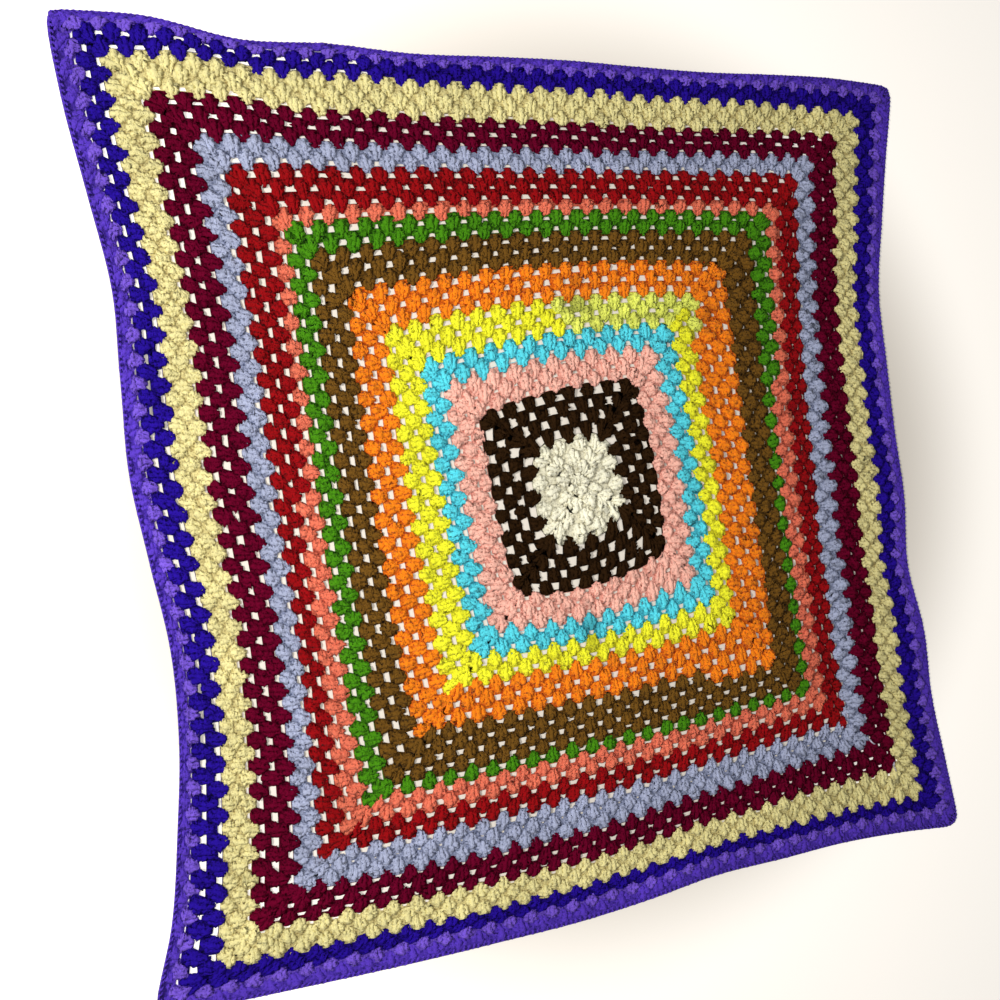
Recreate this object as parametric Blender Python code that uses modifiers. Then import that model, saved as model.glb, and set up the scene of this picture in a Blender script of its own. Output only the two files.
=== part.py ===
"""Crochet afghan: one big granny square of 40 rounds, laid out flat with its own uneven outline.

Metres, +Z up. The sheet lies on its underside at z = 0 with the box centre of its plan at the origin.
The square is laid out in rounds: u and v count rounds from the middle, and a warp turns them into plan.
"""
import math
from collections import namedtuple

import bmesh
import bpy
from mathutils import Vector
from mathutils.geometry import delaunay_2d_cdt

NAME = "afghan"
ROUNDS = 40
EDGE_ROUND = 40.3
SHEET_THICKNESS = 0.003
MM = 0.001

# Corners of the square at some of its rounds, in millimetres in plan. The middle is turned a few degrees
# against the outside, as a granny square does when every round is worked from the same side.
Ring = namedtuple(
    "Ring", "round tl_x tl_y tr_x tr_y br_x br_y bl_x bl_y bow_top bow_right bow_bottom bow_left edge_share"
)
RINGS = (
    Ring(4, -54, 48, 50, 65, 76, -47, -44, -82, 1, 3, 12, 4, 0.0),
    Ring(8, -118, 94, 98, 130, 124, -105, -88, -138, 8, 7, 16, 4, 0.0),
    Ring(13, -188, 161, 157, 201, 193, -181, -149, -211, 12, 6, 10, 4, 0.0),
    Ring(19, -267, 250, 242, 282, 279, -281, -228, -306, 15, 1, 5, 9, 0.0),
    Ring(25, -347, 345, 336, 365, 356, -348, -312, -391, 8, -12, 10, 3, 0.0),
    Ring(28, -395, 396, 369, 405, 386, -389, -355, -428, 3, -7, 14, 2, 0.18),
    Ring(30, -427, 430, 398, 431, 422, -416, -384, -453, 0, -1, 16, 1, 0.30),
    Ring(33, -473, 476, 438, 464, 465, -456, -437, -487, -4, 1, 17, 1, 0.45),
    Ring(36, -515, 519, 480, 497, 508, -507, -477, -524, 3, 2, 4, 0, 0.65),
    Ring(38, -541, 547, 510, 521, 538, -526, -520, -542, 0, 0, 0, 0, 0.80),
    Ring(EDGE_ROUND, -566, 558, 538, 537, 568, -557, -545, -562, 0, 0, 0, 0, 1.0),
)

# How far the outer edge is drawn in from a straight line between its corners, in millimetres, at even
# stations clockwise along each side. A minus value stands out past the line. The rounds inside follow it
# by their edge share.
Inset = namedtuple("Inset", "top right bottom left")
INSETS = (
    Inset(0, 0, 0, 0),
    Inset(-2, 19, 9, 28),
    Inset(15, 38, 14, 44),
    Inset(11, 54, 12, 56),
    Inset(14, 52, 11, 57),
    Inset(9, 49, 0, 45),
    Inset(5, 43, -7, 34),
    Inset(5, 48, -8, 36),
    Inset(4, 30, -8, 37),
    Inset(-1, 27, -6, 23),
    Inset(-4, 13, -3, 8),
    Inset(0, 0, 0, 0),
)
CORNER_RADIUS_ROUNDS = 1.6
EDGE_STEPS_PER_SIDE = 36
CORNER_STEPS = 4

# Low rises the cloth keeps from being folded and from its flared corners, in millimetres.
Rise = namedtuple("Rise", "x y length width turn_deg height")
RISES = (
    Rise(12, -20, 900, 46, 92, 3.0),
    Rise(-40, 20, 820, 44, 2, 2.4),
    Rise(-505, 150, 190, 60, 100, 5.0),
    Rise(-478, -230, 170, 60, 84, 4.0),
    Rise(-400, 505, 170, 56, 150, 5.0),
    Rise(-120, 510, 200, 50, 4, 3.0),
    Rise(270, 500, 220, 50, 176, 3.0),
    Rise(480, 330, 180, 56, 78, 4.5),
    Rise(482, -40, 200, 56, 94, 4.0),
    Rise(505, -330, 170, 54, 100, 4.0),
    Rise(340, -505, 180, 54, 8, 4.5),
    Rise(130, -515, 150, 50, 20, 4.0),
    Rise(-180, -528, 200, 52, 178, 3.0),
    Rise(-430, -500, 150, 54, 40, 4.0),
)
RELIEF_RINGS = (2.5, 10.5, 15.5, 18.5, 23.8, 25.5, 28.4, 34.2, 37.0, 38.8)
RELIEF_STEP_MM = 34.0

# Gaps worked right through, by round: width at the inner end, width at the outer end, depth, and the
# depth's middle, all in rounds.
GapRow = namedtuple("GapRow", "round inner outer depth middle")
GAP_ROWS = (
    GapRow(5, 0.86, 0.56, 0.84, 0.40),
    GapRow(6, 0.90, 0.58, 0.88, 0.40),
    GapRow(7, 0.92, 0.60, 0.90, 0.40),
    GapRow(8, 0.84, 0.54, 0.84, 0.42),
    GapRow(21, 0.78, 0.48, 0.60, 0.36),
    GapRow(32, 0.72, 0.46, 0.46, 0.34),
)

SIDES = ("top", "right", "bottom", "left")
CORNERS = {"top": ("tl", "tr"), "right": ("tr", "br"), "bottom": ("br", "bl"), "left": ("bl", "tl")}


def clear_scene():
    """Takes away every object already in the scene."""
    for item in list(bpy.data.objects):
        bpy.data.objects.remove(item, do_unlink=True)


def blend(a, b, share):
    """Straight blend of two numbers."""
    return a + (b - a) * share


def ring_at(rounds_out, column):
    """One column of the ring table at any round, shrinking evenly inside the first row."""
    first = RINGS[0]
    if rounds_out <= first.round:
        middle_x = sum(getattr(first, c + "_x") for c in ("tl", "tr", "br", "bl")) / 4
        middle_y = sum(getattr(first, c + "_y") for c in ("tl", "tr", "br", "bl")) / 4
        middle = {"_x": middle_x, "_y": middle_y}.get(column[-2:], 0.0)
        return blend(middle, getattr(first, column), rounds_out / first.round)
    for inner, outer in zip(RINGS, RINGS[1:]):
        if rounds_out <= outer.round:
            share = (rounds_out - inner.round) / (outer.round - inner.round)
            return blend(getattr(inner, column), getattr(outer, column), share)
    return getattr(RINGS[-1], column)


def inset_at(side, share):
    """Inset of the outer edge in millimetres at a share of the way along a side, smoothly joined."""
    last = len(INSETS) - 1
    place = min(max(share, 0.0), 1.0) * last
    k = min(int(place), last - 1)
    f = place - k
    p0, p1, p2, p3 = (getattr(INSETS[min(max(k + d, 0), last)], side) for d in (-1, 0, 1, 2))
    m1 = (p2 - p0) / 2
    m2 = (p3 - p1) / 2
    return (
        (2 * f**3 - 3 * f**2 + 1) * p1
        + (f**3 - 2 * f**2 + f) * m1
        + (-2 * f**3 + 3 * f**2) * p2
        + (f**3 - f**2) * m2
    )


def side_of(u, v):
    """Side that a place belongs to, with how many rounds out it is and its share of the way along."""
    out = max(abs(u), abs(v), 1e-6)
    if v >= out - 1e-9:
        return "top", out, 0.5 + u / (2 * out)
    if u >= out - 1e-9:
        return "right", out, 0.5 - v / (2 * out)
    if v <= -out + 1e-9:
        return "bottom", out, 0.5 - u / (2 * out)
    return "left", out, 0.5 + v / (2 * out)


def plan(u, v):
    """Plan position in millimetres of a place given in rounds from the middle."""
    side, out, share = side_of(u, v)
    start, end = CORNERS[side]
    ax, ay = ring_at(out, start + "_x"), ring_at(out, start + "_y")
    bx, by = ring_at(out, end + "_x"), ring_at(out, end + "_y")
    length = math.hypot(bx - ax, by - ay)
    nx, ny = -(by - ay) / length, (bx - ax) / length
    bulge = ring_at(out, "bow_" + side) * 4 * share * (1 - share)
    bulge -= ring_at(out, "edge_share") * inset_at(side, share)
    return blend(ax, bx, share) + nx * bulge, blend(ay, by, share) + ny * bulge


def relief(x, y):
    """Height in millimetres of the low rises at a place in plan."""
    total = 0.0
    for rise in RISES:
        turn = math.radians(rise.turn_deg)
        dx, dy = x - rise.x, y - rise.y
        along = (dx * math.cos(turn) + dy * math.sin(turn)) / (rise.length / 2)
        across = (-dx * math.sin(turn) + dy * math.cos(turn)) / (rise.width / 2)
        if abs(along) < 1 and abs(across) < 1:
            total += rise.height * math.cos(along * math.pi / 2) ** 2 * math.cos(across * math.pi / 2) ** 2
    return total


def outline():
    """Places round the outer edge in rounds, anticlockwise, with rounded corners."""
    r = EDGE_ROUND
    c = CORNER_RADIUS_ROUNDS
    places = []
    for quarter in range(4):
        turn = quarter * math.pi / 2
        cos_t, sin_t = round(math.cos(turn)), round(math.sin(turn))
        local = []
        for k in range(EDGE_STEPS_PER_SIDE):
            along = blend(-(r - c), r - c, k / EDGE_STEPS_PER_SIDE)
            local.append((r, along))
        for k in range(CORNER_STEPS):
            angle = math.pi / 2 * k / CORNER_STEPS
            local.append((r - c + c * math.cos(angle), r - c + c * math.sin(angle)))
        places += [(a * cos_t - b * sin_t, a * sin_t + b * cos_t) for a, b in local]
    return places


def gap_loops():
    """Four-sided loops of the gaps, in rounds, anticlockwise."""
    loops = []
    for row in GAP_ROWS:
        middle = row.round - 1 + row.middle
        inner, outer = middle - row.depth / 2, middle + row.depth / 2
        for k in range(1, row.round):
            along = 2 * k - row.round
            shape = (
                (inner, along - row.inner / 2),
                (outer, along - row.outer / 2),
                (outer, along + row.outer / 2),
                (inner, along + row.inner / 2),
            )
            for quarter in range(4):
                cos_t = (1, 0, -1, 0)[quarter]
                sin_t = (0, 1, 0, -1)[quarter]
                loops.append([(a * cos_t - b * sin_t, a * sin_t + b * cos_t) for a, b in shape])
    return loops


def relief_places():
    """Places inside the sheet that carry the low rises, in rounds, on rings that miss the gaps."""
    places = [(0.0, 0.0)]
    for out in RELIEF_RINGS:
        count = max(2, round(out * 27.0 / RELIEF_STEP_MM))
        for quarter in range(4):
            cos_t = (1, 0, -1, 0)[quarter]
            sin_t = (0, 1, 0, -1)[quarter]
            for k in range(count):
                along = blend(-out, out, k / count)
                places.append((out * cos_t - along * sin_t, out * sin_t + along * cos_t))
    return places


def build_sheet():
    """The afghan as an open surface on its underside, thickened by a Solidify modifier."""
    loops = [outline()] + gap_loops()
    flat = []
    faces = []
    for loop in loops:
        faces.append(list(range(len(flat), len(flat) + len(loop))))
        flat += loop
    flat += relief_places()
    placed = [plan(u, v) for u, v in flat]
    found = delaunay_2d_cdt([Vector(p) for p in placed], [], faces, 0, 1e-4)
    points, _, triangles, _, _, sources = found
    # A triangle is cloth where the outline covers it and no gap does.
    kept = [t for t, source in zip(triangles, sources) if 0 in source and len(source) == 1]
    xs = [p.x for p in points]
    ys = [p.y for p in points]
    mid_x, mid_y = (min(xs) + max(xs)) / 2, (min(ys) + max(ys)) / 2
    mesh = bpy.data.meshes.new(NAME)
    verts = [((p.x - mid_x) * MM, (p.y - mid_y) * MM, relief(p.x, p.y) * MM) for p in points]
    mesh.from_pydata(verts, [], kept)
    shape = bmesh.new()
    shape.from_mesh(mesh)
    bmesh.ops.delete(shape, geom=[v for v in shape.verts if not v.link_faces], context="VERTS")
    for face in shape.faces:
        if face.normal.z < 0:
            face.normal_flip()
    shape.to_mesh(mesh)
    shape.free()
    item = bpy.data.objects.new(NAME, mesh)
    thick = item.modifiers.new("sheet", "SOLIDIFY")
    thick.thickness = SHEET_THICKNESS
    thick.offset = 1.0
    thick.use_even_offset = False
    thick.use_rim = True
    return item


def yarn_material():
    """Plain matt yarn finish of the whole sheet."""
    finish = bpy.data.materials.new("yarn")
    finish.use_nodes = True
    shader = finish.node_tree.nodes["Principled BSDF"]
    shader.inputs["Base Color"].default_value = (0.42, 0.20, 0.16, 1.0)
    shader.inputs["Roughness"].default_value = 0.9
    return finish


def main():
    """Builds the afghan in a collection of its own."""
    clear_scene()
    group = bpy.data.collections.new("crochet_afghan")
    bpy.context.scene.collection.children.link(group)
    sheet = build_sheet()
    sheet.data.materials.append(yarn_material())
    group.objects.link(sheet)


main()
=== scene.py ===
"""Looks of the crochet afghan: the clusters of its 40 rounds in yarn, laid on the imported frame.

Places on the square are given in rounds from the middle (u to the right, v up), and SquarePlan turns them
into plan. Heights are in millimetres above the surface that the afghan lies on.
"""

import logging
import math
from collections.abc import Callable, Sequence
from dataclasses import dataclass, field
from enum import Enum

import bpy
import numpy as np
from mathutils import Matrix, Vector


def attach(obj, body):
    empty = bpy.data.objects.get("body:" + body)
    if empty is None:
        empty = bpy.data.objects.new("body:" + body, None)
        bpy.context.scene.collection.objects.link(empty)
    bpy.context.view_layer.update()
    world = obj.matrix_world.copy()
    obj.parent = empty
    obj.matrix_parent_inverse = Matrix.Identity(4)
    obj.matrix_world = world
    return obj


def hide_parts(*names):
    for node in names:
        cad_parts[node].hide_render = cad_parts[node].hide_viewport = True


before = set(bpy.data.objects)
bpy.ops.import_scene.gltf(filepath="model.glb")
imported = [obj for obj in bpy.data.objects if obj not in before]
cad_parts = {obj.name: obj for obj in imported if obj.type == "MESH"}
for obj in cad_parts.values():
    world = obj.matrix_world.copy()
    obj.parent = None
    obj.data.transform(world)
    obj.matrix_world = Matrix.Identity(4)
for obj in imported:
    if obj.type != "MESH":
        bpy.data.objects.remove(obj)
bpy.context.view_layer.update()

LOG = logging.getLogger("afghan")
MM = 0.001
ROUNDS = 40
EDGE_ROUND = 40.3
ROUND_MM = 13.7
SEED = 11
WRAPS = "wraps"


def srgb(code: str) -> tuple[float, float, float, float]:
    """Turns a colour code into linear light.

    Args:
        code: Six hexadecimal digits.

    Returns:
        Red, green, blue and an alpha of 1.
    """
    parts = [int(code[i : i + 2], 16) / 255 for i in (0, 2, 4)]
    linear = [p / 12.92 if p <= 0.04045 else ((p + 0.055) / 1.055) ** 2.4 for p in parts]
    return (*linear, 1.0)


@dataclass(frozen=True)
class FoldShade:
    """A darker patch painted on the yarn as painted shade of a fold crease, in millimetres and degrees in
    the row frame, and how dark it is.
    """

    x: float
    y: float
    length: float
    width: float
    turn_deg: float
    depth: float


# Painted shade of the fold creases: darker patches along the middle fold above and below the middle, and
# beside it near the top.
FOLD_SHADES = (
    FoldShade(24, 230, 60, 40, 0, 0.42),
    FoldShade(22, 262, 34, 26, 0, 0.30),
    FoldShade(21, 287, 30, 22, 0, 0.22),
    FoldShade(7, -185, 52, 36, 80, 0.40),
    FoldShade(8, -210, 40, 26, 90, 0.28),
    FoldShade(5, -157, 40, 26, 90, 0.22),
    FoldShade(120, 214, 190, 22, 2, 0.20),
    FoldShade(212, 219, 34, 24, 60, 0.32),
    FoldShade(49, 199, 40, 20, 0, 0.20),
)


@dataclass(frozen=True)
class Grain:
    """Make-up of the worked surface, the same in every yarn.

    The first fields are features per metre. The shares say how much each part adds to the height, and the
    levels are heights at which the crease colour has gone over into the face colour. Through this blend the
    crown, belly and pits paint highlight on top of each stitch and shade underneath, at its ends and in its
    holes; the strands and clumps add the yarn's grain, and the height also drives the bump.
    """

    strands: float = 560.0
    clumps: float = 270.0
    tones: float = 14.0
    pits: float = 270.0
    pit_middle: float = 0.12
    pit_rim: float = 0.46
    plies: float = 4.0
    # The crown, belly and pit shares paint highlight on the crowns and shade underneath, at the ends and in
    # the holes.
    crown_share: float = 0.26
    belly_share: float = 0.36
    ply_share: float = -0.08
    strand_share: float = 0.92
    clump_share: float = 0.74
    pit_share: float = 0.38
    lit_level: float = 1.46
    fleck_below: float = 1.15
    fleck_above: float = 0.35
    tone_low: float = 0.3
    tone_high: float = 0.7
    dim_tone: float = 0.9
    bright_tone: float = 1.08
    depth_mm: float = 1.8
    roughness: float = 0.86
    sheen_roughness: float = 0.5


GRAIN = Grain()


@dataclass(frozen=True)
class YarnFinish:
    """One colour of yarn: its lit face, its crease colour, which is painted shade for the creases, holes
    and undersides, how softly they blend and how deep its relief is.
    """

    name: str
    face: str
    crease_shade: str
    fleck: float = 0.5
    sheen: float = 0.06
    gloss: float = 0.12
    relief: float = 0.85

    def material(self) -> bpy.types.Material:
        """Builds the procedural yarn material.

        Returns:
            A material with plied creases, flecks and a bump that follows them, its colour painted lighter
            on the crowns and darker in the creases, holes, undersides and fold creases: painted highlight
            and painted shade.
        """
        made = bpy.data.materials.new("yarn_" + self.name)
        made.use_nodes = True
        tree = made.node_tree
        shader = tree.nodes["Principled BSDF"]
        shader.inputs["Roughness"].default_value = GRAIN.roughness
        shader.inputs["Specular IOR Level"].default_value = self.gloss
        shader.inputs["Sheen Weight"].default_value = self.sheen
        shader.inputs["Sheen Roughness"].default_value = GRAIN.sheen_roughness
        place = tree.nodes.new("ShaderNodeTexCoord")
        crown, ply, belly = self._wraps(tree)
        strand = self._noise(tree, place, GRAIN.strands, detail=2.0)
        clump = self._noise(tree, place, GRAIN.clumps, detail=2.0)
        broad = self._noise(tree, place, GRAIN.tones, detail=1.0)
        pits = self._pits(tree, place)
        parts = (
            (crown, GRAIN.crown_share),
            (belly, GRAIN.belly_share),
            (ply, GRAIN.ply_share),
            (strand, GRAIN.strand_share),
            (clump, GRAIN.clump_share),
            (pits, GRAIN.pit_share),
        )
        height = self._mixed(tree, parts)
        lit = tree.nodes.new("ShaderNodeMapRange")
        lit.inputs["From Min"].default_value = GRAIN.lit_level - GRAIN.fleck_below * self.fleck
        lit.inputs["From Max"].default_value = GRAIN.lit_level + GRAIN.fleck_above * self.fleck
        tree.links.new(height, lit.inputs["Value"])
        colour = tree.nodes.new("ShaderNodeMix")
        colour.data_type = "RGBA"
        # The crease colour is painted shade, blended in where the height is low.
        colour.inputs["A"].default_value = srgb(self.crease_shade)
        colour.inputs["B"].default_value = srgb(self.face)
        tree.links.new(lit.outputs["Result"], colour.inputs["Factor"])
        shade = tree.nodes.new("ShaderNodeHueSaturation")
        tone = tree.nodes.new("ShaderNodeMapRange")
        tone.inputs["From Min"].default_value = GRAIN.tone_low
        tone.inputs["From Max"].default_value = GRAIN.tone_high
        tone.inputs["To Min"].default_value = GRAIN.dim_tone
        tone.inputs["To Max"].default_value = GRAIN.bright_tone
        tree.links.new(broad, tone.inputs["Value"])
        # The broad random tone, with the painted fold-crease shade multiplied in, sets how bright the
        # colour is.
        tree.links.new(self._fold_shaded(tree, place, tone.outputs["Result"]), shade.inputs["Value"])
        tree.links.new(colour.outputs["Result"], shade.inputs["Color"])
        tree.links.new(shade.outputs["Color"], shader.inputs["Base Color"])
        bump = tree.nodes.new("ShaderNodeBump")
        bump.inputs["Strength"].default_value = 1.0
        bump.inputs["Distance"].default_value = GRAIN.depth_mm * MM * self.relief
        tree.links.new(height, bump.inputs["Height"])
        tree.links.new(bump.outputs["Normal"], shader.inputs["Normal"])
        return made

    @staticmethod
    def _noise(
        tree: bpy.types.NodeTree, place: bpy.types.Node, scale: float, detail: float
    ) -> bpy.types.NodeSocket:
        """Adds a noise in object space.

        Args:
            tree: Node tree of the material.
            place: Texture coordinate node.
            scale: Features per metre.
            detail: Octaves.

        Returns:
            The noise's value.
        """
        noise = tree.nodes.new("ShaderNodeTexNoise")
        noise.inputs["Scale"].default_value = scale
        noise.inputs["Detail"].default_value = detail
        tree.links.new(place.outputs["Object"], noise.inputs["Vector"])
        return noise.outputs["Fac"]

    @staticmethod
    def _fold_shaded(
        tree: bpy.types.NodeTree, place: bpy.types.Node, tone: bpy.types.NodeSocket
    ) -> bpy.types.NodeSocket:
        """Darkens a tone inside each patch of painted fold-crease shade.

        Args:
            tree: Node tree of the material.
            place: Texture coordinate node.
            tone: The tone without the painted shade.

        Returns:
            The tone with the painted fold-crease shade in it.
        """
        for fold_shade in FOLD_SHADES:
            patch = tree.nodes.new("ShaderNodeMapping")
            patch.vector_type = "TEXTURE"
            patch.inputs["Location"].default_value = (fold_shade.x * MM, fold_shade.y * MM, 0.0)
            patch.inputs["Rotation"].default_value = (0.0, 0.0, math.radians(fold_shade.turn_deg))
            patch.inputs["Scale"].default_value = (fold_shade.length / 2 * MM, fold_shade.width / 2 * MM, 1.0)
            away = tree.nodes.new("ShaderNodeVectorMath")
            away.operation = "LENGTH"
            fade = tree.nodes.new("ShaderNodeMapRange")
            fade.interpolation_type = "SMOOTHSTEP"
            fade.inputs["From Min"].default_value = 0.2
            fade.inputs["To Min"].default_value = 1.0 - fold_shade.depth
            both = tree.nodes.new("ShaderNodeMath")
            both.operation = "MULTIPLY"
            tree.links.new(place.outputs["Object"], patch.inputs["Vector"])
            tree.links.new(patch.outputs["Vector"], away.inputs[0])
            tree.links.new(away.outputs["Value"], fade.inputs["Value"])
            tree.links.new(tone, both.inputs[0])
            tree.links.new(fade.outputs["Result"], both.inputs[1])
            tone = both.outputs["Value"]
        return tone

    @staticmethod
    def _pits(tree: bpy.types.NodeTree, place: bpy.types.Node) -> bpy.types.NodeSocket:
        """Adds the small holes between the loops of yarn.

        Args:
            tree: Node tree of the material.
            place: Texture coordinate node.

        Returns:
            A value that is 0 in the middle of each hole and 1 between them; through the crease colour it
            paints shade into the holes, and it dents them in the bump.
        """
        cells = tree.nodes.new("ShaderNodeTexVoronoi")
        cells.inputs["Scale"].default_value = GRAIN.pits
        tree.links.new(place.outputs["Object"], cells.inputs["Vector"])
        depth = tree.nodes.new("ShaderNodeMapRange")
        depth.interpolation_type = "SMOOTHSTEP"
        depth.inputs["From Min"].default_value = GRAIN.pit_middle
        depth.inputs["From Max"].default_value = GRAIN.pit_rim
        tree.links.new(cells.outputs["Distance"], depth.inputs["Value"])
        return depth.outputs["Result"]

    @staticmethod
    def _wraps(
        tree: bpy.types.NodeTree,
    ) -> tuple[bpy.types.NodeSocket, bpy.types.NodeSocket, bpy.types.NodeSocket]:
        """Adds the crown and belly of each stitch and the slanting wraps of its yarn.

        Args:
            tree: Node tree of the material.

        Returns:
            A wave that is 1 along the crown and -1 underneath, one that is -1 on each wrap, and one that
            is 1 in the middle of the stitch and 0 at its ends. The first and the last paint highlight on
            the crown and the middle of each stitch and shade underneath and at its ends.
        """
        around = tree.nodes.new("ShaderNodeUVMap")
        around.uv_map = WRAPS
        split = tree.nodes.new("ShaderNodeSeparateXYZ")
        tree.links.new(around.outputs["UV"], split.inputs["Vector"])
        waves = []
        kinds = ((1.0, 0.0, "COSINE"), (1.0, GRAIN.plies, "COSINE"), (0.0, 0.5, "SINE"))
        for turns_around, turns_along, kind in kinds:
            total = YarnFinish._mixed(
                tree, ((split.outputs["X"], turns_around), (split.outputs["Y"], turns_along))
            )
            angle = YarnFinish._mixed(tree, ((total, 2 * math.pi),))
            wave = tree.nodes.new("ShaderNodeMath")
            wave.operation = kind
            tree.links.new(angle, wave.inputs[0])
            waves.append(wave.outputs["Value"])
        return waves[0], waves[1], waves[2]

    @staticmethod
    def _mixed(
        tree: bpy.types.NodeTree, parts: Sequence[tuple[bpy.types.NodeSocket, float]]
    ) -> bpy.types.NodeSocket:
        """Adds up weighted values.

        Args:
            tree: Node tree of the material.
            parts: Each value with its weight.

        Returns:
            The weighted sum.
        """
        total = None
        for value, weight in parts:
            step = tree.nodes.new("ShaderNodeMath")
            step.operation = "MULTIPLY_ADD"
            step.inputs[1].default_value = weight
            step.inputs[2].default_value = 0.0
            tree.links.new(value, step.inputs[0])
            if total is not None:
                tree.links.new(total, step.inputs[2])
            total = step.outputs["Value"]
        return total


class Yarn(Enum):
    """The yarns of the afghan, from the middle outwards."""

    # Each yarn: name, lit face colour, then the crease colour, which is painted shade.
    NATURAL = YarnFinish("natural", "F6F1D6", "B2AB90", relief=0.55)
    DARK_BROWN = YarnFinish("dark_brown", "2E1C0B", "100803", sheen=0.0, gloss=0.03)
    PINK = YarnFinish("pink", "FFC0AC", "BD6E60")
    SKY = YarnFinish("sky", "5CDEEC", "16748C", 0.45)
    YELLOW = YarnFinish("yellow", "FAF830", "A89F0E", 0.45)
    # A greener yellow with much darker olive creases, on rounds 14 to 16 from the ninth cluster of the top
    # side on.
    LIME_HEATHER = YarnFinish("lime_olive", "F0F66A", "5A6222", 0.75)
    ORANGE = YarnFinish("orange", "FF8A14", "A83402", 0.42, relief=1.0)
    BROWN = YarnFinish("brown", "74501A", "1A0E03", 0.38, sheen=0.02, gloss=0.05, relief=1.0)
    GREEN = YarnFinish("green", "4A8E12", "0F2E02", 0.40, sheen=0.02, gloss=0.06, relief=1.0)
    CORAL = YarnFinish("coral", "F27A5C", "8C3224", 0.42, relief=1.0)
    RED = YarnFinish("red", "9C0C12", "330002", 0.42, sheen=0.02, gloss=0.05, relief=1.0)
    GREY = YarnFinish("grey", "AEB4CE", "505874", 0.42)
    BURGUNDY = YarnFinish("burgundy", "680426", "22000A", 0.45, sheen=0.0, gloss=0.03, relief=1.0)
    STRAW = YarnFinish("straw", "EEE29E", "98844E", relief=0.7)
    DEEP_VIOLET = YarnFinish("deep_violet", "281198", "0A042A", 0.45, sheen=0.0, gloss=0.05, relief=1.0)
    VIOLET = YarnFinish("violet", "7C5AD6", "341F7A", 0.42, sheen=0.03, relief=0.8)
    VIOLET_EDGE = YarnFinish("violet_edge", "5A3ABE", "2E1C78", sheen=0.02, relief=0.55)
    TAIL = YarnFinish("tail", "E4DCEC", "A49CB0")


class Side(Enum):
    """Sides of the square, in the order in which they are worked: clockwise from the lower left."""

    LEFT = 0
    TOP = 1
    RIGHT = 2
    BOTTOM = 3


@dataclass(frozen=True)
class Band:
    """Rounds in one yarn, with the width of their clusters. The half widths are in rounds."""

    first: int
    last: int
    yarn: Yarn
    half_base: float
    half_top: float
    puff: float = 1.0


BANDS = (
    Band(1, 4, Yarn.NATURAL, 0.48, 0.76, 1.2),
    Band(5, 8, Yarn.DARK_BROWN, 0.38, 0.68),
    Band(9, 11, Yarn.PINK, 0.44, 0.73),
    Band(12, 13, Yarn.SKY, 0.44, 0.72),
    Band(14, 16, Yarn.YELLOW, 0.44, 0.72),
    Band(17, 19, Yarn.ORANGE, 0.44, 0.72),
    Band(20, 22, Yarn.BROWN, 0.44, 0.71),
    Band(23, 24, Yarn.GREEN, 0.43, 0.71),
    Band(25, 26, Yarn.CORAL, 0.43, 0.71),
    Band(27, 28, Yarn.RED, 0.43, 0.71),
    Band(29, 30, Yarn.GREY, 0.46, 0.74),
    Band(31, 33, Yarn.BURGUNDY, 0.45, 0.73),
    Band(34, 36, Yarn.STRAW, 0.46, 0.74),
    Band(37, 38, Yarn.DEEP_VIOLET, 0.44, 0.73),
    Band(39, 39, Yarn.VIOLET, 0.44, 0.72, 1.05),
    Band(40, 40, Yarn.VIOLET_EDGE, 0.44, 0.98, 0.85),
)


@dataclass(frozen=True)
class GapSize:
    """Gaps of some rounds: how long they are along the side and how deep outwards, in millimetres.

    A gap of no length is closed: only a pit shows there.
    """

    first: int
    last: int
    long: float
    deep: float


GAP_SIZES = (
    GapSize(1, 3, 0.0, 7.6),
    GapSize(4, 4, 0.0, 4.5),
    GapSize(5, 8, 10.8, 8.8),
    GapSize(9, 9, 6.2, 4.4),
    GapSize(10, 11, 5.2, 3.6),
    GapSize(12, 13, 7.6, 4.8),
    GapSize(14, 16, 7.8, 5.4),
    GapSize(17, 19, 8.8, 6.6),
    GapSize(20, 20, 8.2, 5.4),
    GapSize(21, 21, 9.4, 6.6),
    GapSize(22, 24, 9.2, 5.6),
    GapSize(25, 28, 9.4, 5.8),
    GapSize(29, 29, 8.0, 4.8),
    GapSize(30, 30, 0.0, 3.4),
    GapSize(31, 31, 7.6, 4.2),
    GapSize(32, 32, 10.0, 6.4),
    GapSize(33, 33, 9.4, 5.2),
    GapSize(34, 34, 6.6, 3.8),
    GapSize(35, 36, 0.0, 3.6),
    GapSize(37, 38, 9.0, 4.4),
    GapSize(39, 39, 5.5, 2.6),
    GapSize(40, 40, 0.0, 3.0),
)


@dataclass(frozen=True)
class DrawnIn:
    """Gaps of one side that are drawn in: from a share of the way along, to a share of their size."""

    first: int
    last: int
    side: Side
    start: float
    share: float


DRAWN_IN = (
    DrawnIn(37, 39, Side.TOP, 0.30, 0.0),
    DrawnIn(37, 39, Side.RIGHT, 0.0, 0.0),
    DrawnIn(37, 39, Side.BOTTOM, 0.0, 0.0),
    DrawnIn(20, 22, Side.RIGHT, 0.0, 0.52),
    DrawnIn(23, 28, Side.RIGHT, 0.0, 0.82),
    DrawnIn(31, 33, Side.RIGHT, 0.0, 0.50),
    DrawnIn(29, 34, Side.RIGHT, 0.0, 0.68),
    DrawnIn(29, 29, Side.BOTTOM, 0.0, 0.45),
    DrawnIn(31, 33, Side.BOTTOM, 0.35, 0.90),
    DrawnIn(31, 33, Side.BOTTOM, 0.0, 0.58),
    DrawnIn(30, 34, Side.BOTTOM, 0.0, 0.84),
    DrawnIn(20, 26, Side.TOP, 0.15, 0.78),
    DrawnIn(27, 34, Side.TOP, 0.25, 0.82),
)


@dataclass(frozen=True)
class YarnChange:
    """A change of yarn part of the way round, after some clusters of a side."""

    round: int
    side: Side
    after: int
    yarn: Yarn


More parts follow.
